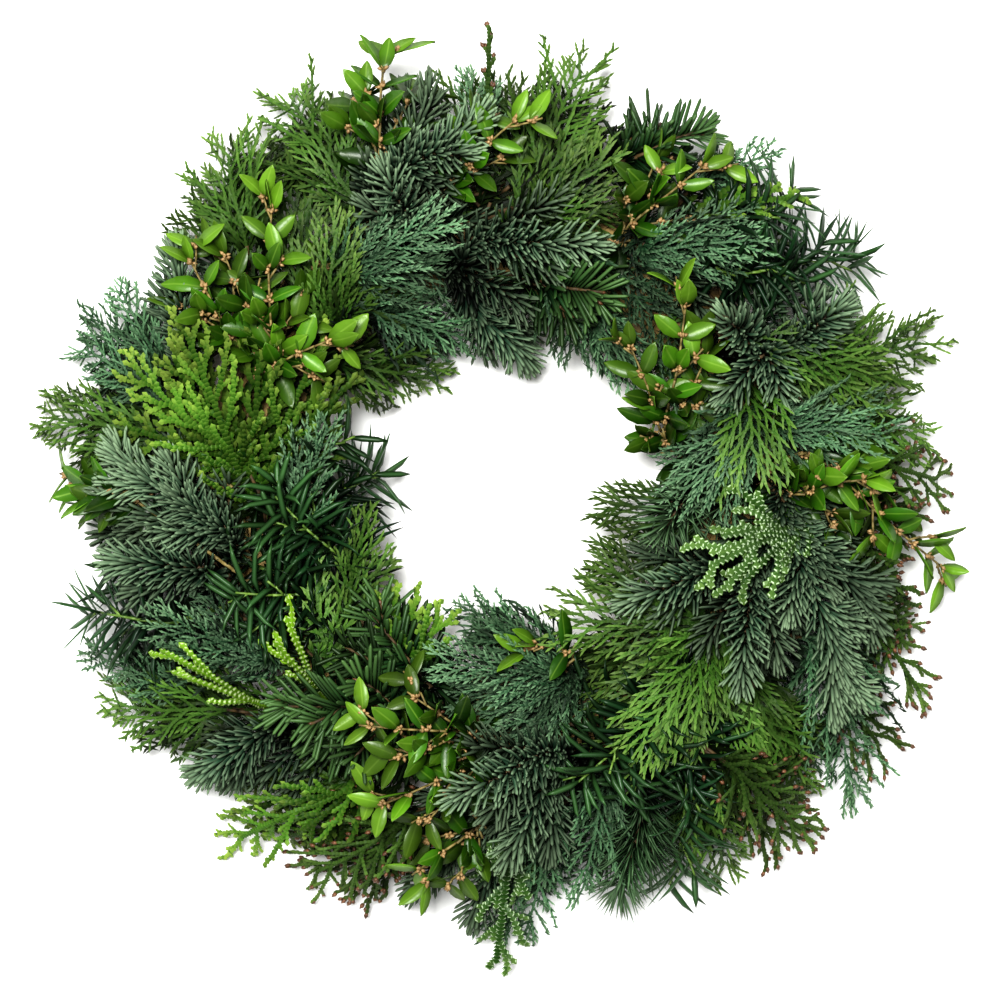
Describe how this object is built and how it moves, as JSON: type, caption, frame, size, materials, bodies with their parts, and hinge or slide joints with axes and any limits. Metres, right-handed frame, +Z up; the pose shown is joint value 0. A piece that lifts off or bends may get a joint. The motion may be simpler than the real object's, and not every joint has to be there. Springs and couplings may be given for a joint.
{
  "type": "evergreen wreath",
  "caption": "Round evergreen wreath lying flat, of mixed fir, yew, cypress, thuja and box sprays bound with wire round a straw ring, open in the middle.",
  "frame": {"origin": "on the surface the wreath lies on, under the middle of its bounding box", "axes": "+Z up out of the wreath's face, +Y towards the top of the picture, +X to its right"},
  "size_m": [0.4716, 0.4814, 0.0952],
  "materials": {
    "straw": "dry pressed straw",
    "wire": "green lacquered florist's wire",
    "noble_fir": "waxy blue-grey needles",
    "nordmann_fir": "glossy dark green needles",
    "pine": "thin grey-green needles",
    "yew": "dark satin needles",
    "green_cypress": "bright green scale leaves",
    "blue_cypress": "blue-green scale leaves with a bloom",
    "tipped_cypress": "olive scale leaves with brown tips",
    "lime_thuja": "yellow-green scale leaves",
    "hiba": "green scale leaves with white marks below",
    "box_leaf": "glossy small leaves on tan stems"
  },
  "bodies": {
    "root": {"straw_ring": "straw", "binding_wire": "wire", "box_top_left": "box_leaf", "noble_fir_top": "noble_fir", "noble_fir_crown": "noble_fir", "green_cypress_top_left": "green_cypress", "box_top": "box_leaf", "green_cypress_top": "green_cypress", "noble_fir_under_top": "noble_fir", "nordmann_fir_under_top": "nordmann_fir", "blue_cypress_top_left": "blue_cypress", "box_top_right": "box_leaf", "nordmann_fir_top_right": "nordmann_fir", "blue_cypress_top_right": "blue_cypress", "lime_thuja_top_right": "lime_thuja", "yew_top_right": "yew", "blue_cypress_inner_top": "blue_cypress", "noble_fir_right": "noble_fir", "box_inner_right": "box_leaf", "green_cypress_right": "green_cypress", "blue_cypress_right": "blue_cypress", "pine_inner_right": "pine", "hiba_right": "hiba", "box_right": "box_leaf", "tipped_cypress_right": "tipped_cypress", "noble_fir_low_right": "noble_fir", "noble_fir_inner_right": "noble_fir", "green_cypress_low_right": "green_cypress", "green_cypress_bottom_right": "green_cypress", "blue_cypress_low_right": "blue_cypress", "tipped_cypress_low_right": "tipped_cypress", "tipped_cypress_bottom_right": "tipped_cypress", "green_cypress_bottom": "green_cypress", "yew_bottom_right": "yew", "pine_bottom": "pine", "blue_cypress_bottom": "blue_cypress", "hiba_bottom": "hiba", "noble_fir_bottom": "noble_fir", "box_bottom_left": "box_leaf", "box_bottom": "box_leaf", "blue_cypress_inner_bottom": "blue_cypress", "nordmann_fir_low_left": "nordmann_fir", "lime_thuja_low_left": "lime_thuja", "blue_cypress_low_left": "blue_cypress", "green_cypress_low_left": "green_cypress", "noble_fir_low_left": "noble_fir", "lime_thuja_bottom_left": "lime_thuja", "tipped_cypress_bottom_left": "tipped_cypress", "box_left": "box_leaf", "noble_fir_left": "noble_fir", "yew_left": "yew", "yew_low_left": "yew", "lime_thuja_left": "lime_thuja", "green_cypress_left": "green_cypress", "blue_cypress_left": "blue_cypress", "noble_fir_top_left": "noble_fir", "box_upper_left": "box_leaf", "green_cypress_upper_left": "green_cypress", "green_cypress_inner_left": "green_cypress", "yew_inner_left": "yew"}
  },
  "joints": []
}
